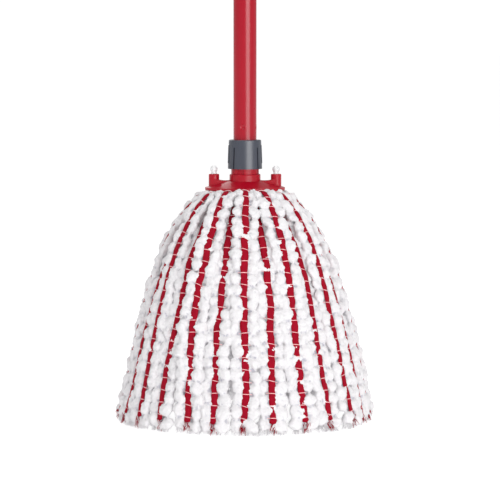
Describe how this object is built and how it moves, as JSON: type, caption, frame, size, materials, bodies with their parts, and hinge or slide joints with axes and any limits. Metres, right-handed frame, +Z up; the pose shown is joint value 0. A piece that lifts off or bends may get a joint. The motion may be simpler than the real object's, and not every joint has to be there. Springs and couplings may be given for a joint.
{
  "type": "string mop",
  "caption": "Upright string mop: red tube handle with a grip and hanging eye, grey locking collar, oval red head plate and a bell of white fleece strips with red tape.",
  "frame": {"origin": "on the floor, under the handle's axis, in the middle of the ring of strips", "axes": "+Z up along the handle, -Y the front, +X through the two snap pins"},
  "size_m": [0.2604, 0.2592, 1.424],
  "materials": {
    "red_paint": "gloss red paint",
    "red_plastic": "moulded gloss",
    "grey_plastic": "satin moulded",
    "black_grip": "soft matte",
    "white_plastic": "moulded gloss",
    "fleece": "white microfibre fleece with a red tape sewn down each strip"
  },
  "bodies": {
    "handle": {"handle_tube": "red_paint", "tube_plug": "grey_plastic", "grip_sleeve": "black_grip", "hang_cap": "grey_plastic"},
    "collar": {"locking_collar": "grey_plastic"},
    "head": {"head_plate": "red_plastic", "snap_pin_left": "white_plastic", "snap_pin_right": "white_plastic", "clamp_plate": "white_plastic", "strip_core": "fleece"},
    "strip_01": {"strip_01": "fleece"},
    "strip_02": {"strip_02": "fleece"},
    "strip_03": {"strip_03": "fleece"},
    "strip_04": {"strip_04": "fleece"},
    "strip_05": {"strip_05": "fleece"},
    "strip_06": {"strip_06": "fleece"},
    "strip_07": {"strip_07": "fleece"},
    "strip_08": {"strip_08": "fleece"},
    "strip_09": {"strip_09": "fleece"},
    "strip_10": {"strip_10": "fleece"},
    "strip_11": {"strip_11": "fleece"},
    "strip_12": {"strip_12": "fleece"},
    "strip_13": {"strip_13": "fleece"},
    "strip_14": {"strip_14": "fleece"},
    "strip_15": {"strip_15": "fleece"},
    "strip_16": {"strip_16": "fleece"},
    "strip_17": {"strip_17": "fleece"},
    "strip_18": {"strip_18": "fleece"},
    "strip_19": {"strip_19": "fleece"},
    "strip_20": {"strip_20": "fleece"},
    "strip_21": {"strip_21": "fleece"},
    "strip_22": {"strip_22": "fleece"},
    "strip_23": {"strip_23": "fleece"},
    "strip_24": {"strip_24": "fleece"},
    "strip_25": {"strip_25": "fleece"},
    "strip_26": {"strip_26": "fleece"}
  },
  "joints": [
    {"name": "collar_turn", "type": "hinge", "parent": "handle", "child": "collar", "pos_m": [0, 0, 0.2775], "axis": [0, 0, 1], "range_deg": [0, 45]},
    {"name": "head_pull_off", "type": "slide", "parent": "handle", "child": "head", "axis": [0, 0, -1], "range_m": [0, 0.06]},
    {"name": "strip_01_splay", "type": "hinge", "parent": "head", "child": "strip_01", "pos_m": [0, -0.042, 0.2394], "axis": [-1, 0, 0], "range_deg": [0, 40]},
    {"name": "strip_02_splay", "type": "hinge", "parent": "head", "child": "strip_02", "pos_m": [0.01005, -0.04078, 0.2276], "axis": [-0.9709, -0.2393, 0], "range_deg": [0, 40]},
    {"name": "strip_03_splay", "type": "hinge", "parent": "head", "child": "strip_03", "pos_m": [0.01952, -0.03719, 0.2394], "axis": [-0.8855, -0.4647, 0], "range_deg": [0, 40]},
    {"name": "strip_04_splay", "type": "hinge", "parent": "head", "child": "strip_04", "pos_m": [0.02785, -0.03144, 0.2276], "axis": [-0.7485, -0.6631, 0], "range_deg": [0, 40]},
    {"name": "strip_05_splay", "type": "hinge", "parent": "head", "child": "strip_05", "pos_m": [0.03456, -0.02386, 0.2394], "axis": [-0.5681, -0.823, 0], "range_deg": [0, 40]},
    {"name": "strip_06_splay", "type": "hinge", "parent": "head", "child": "strip_06", "pos_m": [0.03927, -0.01489, 0.2276], "axis": [-0.3546, -0.935, 0], "range_deg": [0, 40]},
    {"name": "strip_07_splay", "type": "hinge", "parent": "head", "child": "strip_07", "pos_m": [0.04169, -0.00506, 0.2394], "axis": [-0.1205, -0.9927, 0], "range_deg": [0, 40]},
    {"name": "strip_08_splay", "type": "hinge", "parent": "head", "child": "strip_08", "pos_m": [0.04169, 0.00506, 0.2276], "axis": [0.1205, -0.9927, 0], "range_deg": [0, 40]},
    {"name": "strip_09_splay", "type": "hinge", "parent": "head", "child": "strip_09", "pos_m": [0.03927, 0.01489, 0.2394], "axis": [0.3546, -0.935, 0], "range_deg": [0, 40]},
    {"name": "strip_10_splay", "type": "hinge", "parent": "head", "child": "strip_10", "pos_m": [0.03456, 0.02386, 0.2276], "axis": [0.5681, -0.823, 0], "range_deg": [0, 40]},
    {"name": "strip_11_splay", "type": "hinge", "parent": "head", "child": "strip_11", "pos_m": [0.02785, 0.03144, 0.2394], "axis": [0.7485, -0.6631, 0], "range_deg": [0, 40]},
    {"name": "strip_12_splay", "type": "hinge", "parent": "head", "child": "strip_12", "pos_m": [0.01952, 0.03719, 0.2276], "axis": [0.8855, -0.4647, 0], "range_deg": [0, 40]},
    {"name": "strip_13_splay", "type": "hinge", "parent": "head", "child": "strip_13", "pos_m": [0.01005, 0.04078, 0.2394], "axis": [0.9709, -0.2393, 0], "range_deg": [0, 40]},
    {"name": "strip_14_splay", "type": "hinge", "parent": "head", "child": "strip_14", "pos_m": [0, 0.042, 0.2276], "axis": [1, 0, 0], "range_deg": [0, 40]},
    {"name": "strip_15_splay", "type": "hinge", "parent": "head", "child": "strip_15", "pos_m": [-0.01005, 0.04078, 0.2394], "axis": [0.9709, 0.2393, 0], "range_deg": [0, 40]},
    {"name": "strip_16_splay", "type": "hinge", "parent": "head", "child": "strip_16", "pos_m": [-0.01952, 0.03719, 0.2276], "axis": [0.8855, 0.4647, 0], "range_deg": [0, 40]},
    {"name": "strip_17_splay", "type": "hinge", "parent": "head", "child": "strip_17", "pos_m": [-0.02785, 0.03144, 0.2394], "axis": [0.7485, 0.6631, 0], "range_deg": [0, 40]},
    {"name": "strip_18_splay", "type": "hinge", "parent": "head", "child": "strip_18", "pos_m": [-0.03456, 0.02386, 0.2276], "axis": [0.5681, 0.823, 0], "range_deg": [0, 40]},
    {"name": "strip_19_splay", "type": "hinge", "parent": "head", "child": "strip_19", "pos_m": [-0.03927, 0.01489, 0.2394], "axis": [0.3546, 0.935, 0], "range_deg": [0, 40]},
    {"name": "strip_20_splay", "type": "hinge", "parent": "head", "child": "strip_20", "pos_m": [-0.04169, 0.00506, 0.2276], "axis": [0.1205, 0.9927, 0], "range_deg": [0, 40]},
    {"name": "strip_21_splay", "type": "hinge", "parent": "head", "child": "strip_21", "pos_m": [-0.04169, -0.00506, 0.2394], "axis": [-0.1205, 0.9927, 0], "range_deg": [0, 40]},
    {"name": "strip_22_splay", "type": "hinge", "parent": "head", "child": "strip_22", "pos_m": [-0.03927, -0.01489, 0.2276], "axis": [-0.3546, 0.935, 0], "range_deg": [0, 40]},
    {"name": "strip_23_splay", "type": "hinge", "parent": "head", "child": "strip_23", "pos_m": [-0.03456, -0.02386, 0.2394], "axis": [-0.5681, 0.823, 0], "range_deg": [0, 40]},
    {"name": "strip_24_splay", "type": "hinge", "parent": "head", "child": "strip_24", "pos_m": [-0.02785, -0.03144, 0.2276], "axis": [-0.7485, 0.6631, 0], "range_deg": [0, 40]},
    {"name": "strip_25_splay", "type": "hinge", "parent": "head", "child": "strip_25", "pos_m": [-0.01952, -0.03719, 0.2394], "axis": [-0.8855, 0.4647, 0], "range_deg": [0, 40]},
    {"name": "strip_26_splay", "type": "hinge", "parent": "head", "child": "strip_26", "pos_m": [-0.01005, -0.04078, 0.2276], "axis": [-0.9709, 0.2393, 0], "range_deg": [0, 40]}
  ],
  "couplings": [
    {"joint": "strip_02_splay", "follows": "strip_01_splay", "ratio": 1},
    {"joint": "strip_03_splay", "follows": "strip_01_splay", "ratio": 1},
    {"joint": "strip_04_splay", "follows": "strip_01_splay", "ratio": 1},
    {"joint": "strip_05_splay", "follows": "strip_01_splay", "ratio": 1},
    {"joint": "strip_06_splay", "follows": "strip_01_splay", "ratio": 1},
    {"joint": "strip_07_splay", "follows": "strip_01_splay", "ratio": 1},
    {"joint": "strip_08_splay", "follows": "strip_01_splay", "ratio": 1},
    {"joint": "strip_09_splay", "follows": "strip_01_splay", "ratio": 1},
    {"joint": "strip_10_splay", "follows": "strip_01_splay", "ratio": 1},
    {"joint": "strip_11_splay", "follows": "strip_01_splay", "ratio": 1},
    {"joint": "strip_12_splay", "follows": "strip_01_splay", "ratio": 1},
    {"joint": "strip_13_splay", "follows": "strip_01_splay", "ratio": 1},
    {"joint": "strip_14_splay", "follows": "strip_01_splay", "ratio": 1},
    {"joint": "strip_15_splay", "follows": "strip_01_splay", "ratio": 1},
    {"joint": "strip_16_splay", "follows": "strip_01_splay", "ratio": 1},
    {"joint": "strip_17_splay", "follows": "strip_01_splay", "ratio": 1},
    {"joint": "strip_18_splay", "follows": "strip_01_splay", "ratio": 1},
    {"joint": "strip_19_splay", "follows": "strip_01_splay", "ratio": 1},
    {"joint": "strip_20_splay", "follows": "strip_01_splay", "ratio": 1},
    {"joint": "strip_21_splay", "follows": "strip_01_splay", "ratio": 1},
    {"joint": "strip_22_splay", "follows": "strip_01_splay", "ratio": 1},
    {"joint": "strip_23_splay", "follows": "strip_01_splay", "ratio": 1},
    {"joint": "strip_24_splay", "follows": "strip_01_splay", "ratio": 1},
    {"joint": "strip_25_splay", "follows": "strip_01_splay", "ratio": 1},
    {"joint": "strip_26_splay", "follows": "strip_01_splay", "ratio": 1}
  ]
}
